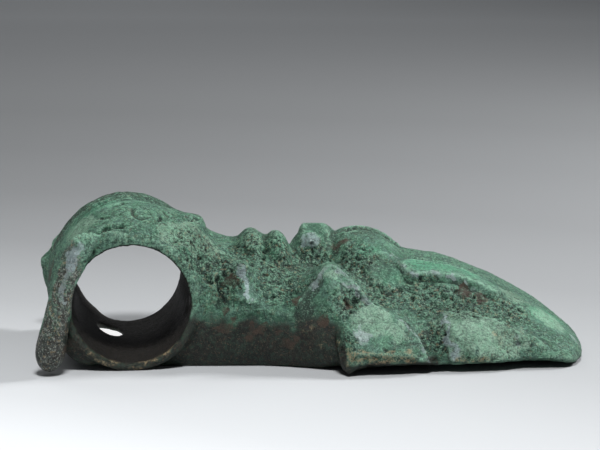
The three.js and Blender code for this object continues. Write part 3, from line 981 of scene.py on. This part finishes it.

# %% [markdown]
# The crust's greens come from copper salts: clouds of two greens first, then vivid and powdery places and the
# painted shade, then what the shape tells, with painted shade in the broad hollows and dark creases, and last
# single grains, lighter and darker than the rest.

# %% Green crust
def green_crust(finish):
    blotches, flecks, specks = finish.blotches, finish.flecks, finish.specks
    crust = finish.layer("crust")
    colour = finish.mix(finish.clouds, paint(46, 92, 70), paint(84, 132, 106))
    # Painted shade: the shaded places, the broad hollows and the dark creases are darkened among these coats.
    coats = [
        (blotches * 0.5, (74, 104, 98)),
        (finish.layer("vivid") * (0.1 + 0.8 * flecks), (66, 150, 112)),
        (finish.layer("shade") * 0.72, (34, 64, 50)),
        (flaked(finish, "powdery", 0.2, 0.9) * (0.4 + 0.3 * blotches), (136, 168, 146)),
        (finish.layer("ridges") * 0.4, (134, 168, 148)),
        (finish.layer("crests") * 0.6, (132, 180, 154)),
        (finish.layer("hollows") * 0.7, (32, 66, 50)),
        (flaked(finish, "deep") * 0.7, (24, 38, 32)),
        (finish.layer("pits") * 0.9, (10, 22, 16)),
    ]
    grains = [
        (flecks.between(0.54, 0.61) * (0.28 + 0.36 * crust), (124, 176, 148)),
        ((1 - flecks).between(0.52, 0.59) * (0.42 + 0.5 * crust), (26, 50, 42)),
        (specks.between(0.56, 0.63) * (0.26 + 0.36 * crust), (166, 202, 176)),
        ((1 - specks).between(0.53, 0.59) * (0.42 + 0.5 * crust), (14, 28, 22)),
        (finish.salts.between(0.6, 0.64) * crust * 0.35, (176, 156, 120)),
    ]
    return coated(finish, colour, coats + grains)


print("the green crust is mixed")

# %% [markdown]
# Under the crust lies dark bronze, nearly black, with a little brown and green in it. The hanging bar is greyer
# and more speckled. The inside of the hole is painted brown-black, for its dark metal and the shade deep in the
# bore, with fine lighter streaks along it as a painted sheen.

# %% Dark bronze
def dark_bronze(finish):
    colour = finish.mix(finish.blotches, paint(15, 16, 14), paint(38, 30, 24))
    coats = [
        (finish.clouds * 0.5, (14, 30, 23)),
        (finish.flecks.between(0.52, 0.58) * 0.5, (40, 64, 52)),
        ((1 - finish.flecks).between(0.5, 0.58) * 0.6, (8, 8, 7)),
        (finish.specks.between(0.58, 0.63) * 0.5, (112, 96, 74)),
    ]
    return coated(finish, colour, coats)


def mottled_bar(finish, colour):
    mottled = flaked(finish, "mottled")
    coats = [
        (mottled * (0.45 + 0.5 * finish.blotches), (66, 72, 68)),
        (mottled * (1 - finish.flecks).between(0.46, 0.56) * 0.8, (40, 32, 27)),
        (mottled * finish.specks.between(0.53, 0.6) * 0.75, (146, 152, 142)),
        (mottled * finish.salts.between(0.6, 0.66) * 0.5, (150, 132, 98)),
    ]
    return coated(finish, colour, coats)


def inside_of_hole(finish):
    # Painted shade and sheen: near black for the shade in the bore, lighter streaks along it for its sheen.
    along = finish.add("ShaderNodeMapping", {}, {"Vector": finish.place, "Scale": (1, 3, 1)})
    sheen_streaks = finish.noise(1, 3, 0.6, along).between(0.42, 0.6)
    return finish.mix(sheen_streaks, paint(5, 5, 4), paint(42, 37, 31))


print("the dark bronze is mixed")

# %% [markdown]
# The whole finish lays these over one another: crust, bare bronze, brown stains, the bar, earth, rubbed metal
# with its painted sheen, the painted highlights, and the hole with its painted shade. Rubbed and bare metal is
# smoother than crust, and the finest grain is a bump.

# %% Patinated bronze
def patinated_bronze():
    finish = grainy("patinated_bronze")
    blotches, flecks, specks = finish.blotches, finish.flecks, finish.specks
    bare = flaked(finish, "bare", 0.1, 0.8)
    rubbed = flaked(finish, "rubbed")
    hole = finish.layer("hole")
    colour = finish.mix(bare * (0.75 + 0.4 * specks), green_crust(finish), dark_bronze(finish))
    colour = finish.mix(flaked(finish, "brown") * (0.4 + 0.5 * blotches), colour, paint(70, 54, 43))
    colour = mottled_bar(finish, colour)
    earthy = finish.layer("earthy") * flecks.between(0.42, 0.54) * specks.between(0.4, 0.55)
    # Painted highlights on the spots where polished metal would catch the light.
    polished = flaked(finish, "polished", 0.25, 0.95)
    coats = [
        (earthy * 0.85, (152, 134, 104)),
        # Rubbed wear, whose pale grey is also a painted sheen.
        (rubbed * (0.2 + 0.5 * blotches), (144, 158, 158)),
        (polished * (0.25 + 0.6 * flecks), (146, 162, 166)),
    ]
    colour = finish.mix(hole, coated(finish, colour, coats), inside_of_hole(finish))
    shine = rubbed + 0.6 * bare - 0.6 * hole
    rough = 0.6 - 0.3 * shine + 0.4 * (flecks - 0.5)
    height = (0.3 + finish.layer("crust")) * (flecks + 0.6 * specks + 0.3 * finish.dust)
    bump = finish.add("ShaderNodeBump", {}, {"Strength": 1.0, "Distance": 1.1 * MM, "Height": height})
    finish.set(finish.surface, {"Base Color": colour, "Roughness": rough, "Metallic": 0.25 * rubbed})
    finish.set(finish.surface, {"Specular IOR Level": 0.4, "Normal": bump})
    return finish.material


head.data.materials.clear()
head.data.materials.append(patinated_bronze())
print("the bronze has", len(head.data.materials[0].node_tree.nodes), "nodes")

# %% [markdown]
# The head lies on a wide sheet of pale paper. A long studio sweep falls off smoothly from white in front to
# grey behind, and that falloff of light is painted into the paper's grey, which follows the distance from a
# place at its near left. A spot of it glows under the socket, where the worn slot in the wall would otherwise
# show shadow instead of bright paper.

# %% Paper
SLOT = (-0.0525, 0.0165, 0)
SHADING_CENTRE = (-0.35, -0.46, 0)
SHADING_SCALE = 0.4
# Painted light falloff: the paper's grey at each distance from the shading centre.
FALLOFF_GREYS = [
    (0.0, 0.84), (0.185, 0.71), (0.2, 0.57), (0.215, 0.5), (0.235, 0.39), (0.27, 0.29), (0.31, 0.25),
    (0.36, 0.26), (0.42, 0.305), (0.5, 0.425), (0.65, 0.68), (0.76, 0.81), (1.0, 0.74),
]


def soft_paper():
    finish = Finish("pale_paper")
    place = finish.add("ShaderNodeTexCoord", output="Object")

    def distance(spot):
        return finish.add("ShaderNodeVectorMath", {"operation": "DISTANCE"}, {0: place, 1: spot}, "Value")

    stops = [(far, (grey * 0.97, grey, grey * 1.03, 1)) for far, grey in FALLOFF_GREYS]
    far_away = distance(SHADING_CENTRE) * SHADING_SCALE
    grey = finish.add("ShaderNodeValToRGB", {"stops": stops}, {"Fac": far_away})
    glow = finish.mix(1 - distance(SLOT).between(0.006, 0.008), (0, 0, 0, 1), (1, 1, 1, 1))
    finish.set(finish.surface, {"Base Color": grey, "Roughness": 0.9, "Specular IOR Level": 0.2})
    finish.set(finish.surface, {"Emission Color": glow, "Emission Strength": 0.9})
    return finish.material


sheet = bmesh.new()
bmesh.ops.create_circle(sheet, cap_ends=True, segments=96, radius=6)
paper = bpy.data.objects.new("paper", bpy.data.meshes.new("paper"))
sheet.to_mesh(paper.data)
sheet.free()
bpy.context.scene.collection.objects.link(paper)
paper.data.materials.append(soft_paper())
print("the paper has", len(FALLOFF_GREYS), "greys from near to far")

# %% [markdown]
# Small soft lamps give the crust its grain. The key stands high in front, a side lamp rakes over the relief
# from the right and throws the shadow to the left, a weak one behind draws the top edge, and one far back
# lights the paper there. The plain view transform keeps the greens as they were mixed.

# %% Lamps
def lamp(name, at, size, watts, colour=(1, 1, 1), towards=(0, 0, 0.02)):
    """A round soft lamp that faces the head."""
    data = bpy.data.lights.new(name, "AREA")
    data.shape = "DISK"
    data.size = size
    data.energy = watts
    data.color = colour
    thing = bpy.data.objects.new(name, data)
    thing.location = at
    thing.rotation_euler = (Vector(towards) - Vector(at)).to_track_quat("-Z", "Y").to_euler()
    bpy.context.scene.collection.objects.link(thing)


lamp("key", (-0.02, -0.36, 0.8), 0.22, 7.2)
lamp("side", (0.5, 0.1, 0.42), 0.16, 4.0)
lamp("rim", (-0.3, 0.5, 0.7), 0.4, 0.9)
lamp("far", (0, 1.9, 0.9), 0.6, 1.0, towards=(0, 1.8, 0))
world = bpy.data.worlds.new("studio")
bpy.context.scene.world = world
world.use_nodes = True
world.node_tree.nodes["Background"].inputs["Color"].default_value = (0.92, 0.96, 1, 1)
world.node_tree.nodes["Background"].inputs["Strength"].default_value = 0.06
bpy.context.scene.view_settings.view_transform = "Standard"
print("the lamps are lit")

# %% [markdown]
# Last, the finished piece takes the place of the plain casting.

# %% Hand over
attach(head, "root")
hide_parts("axe_head")
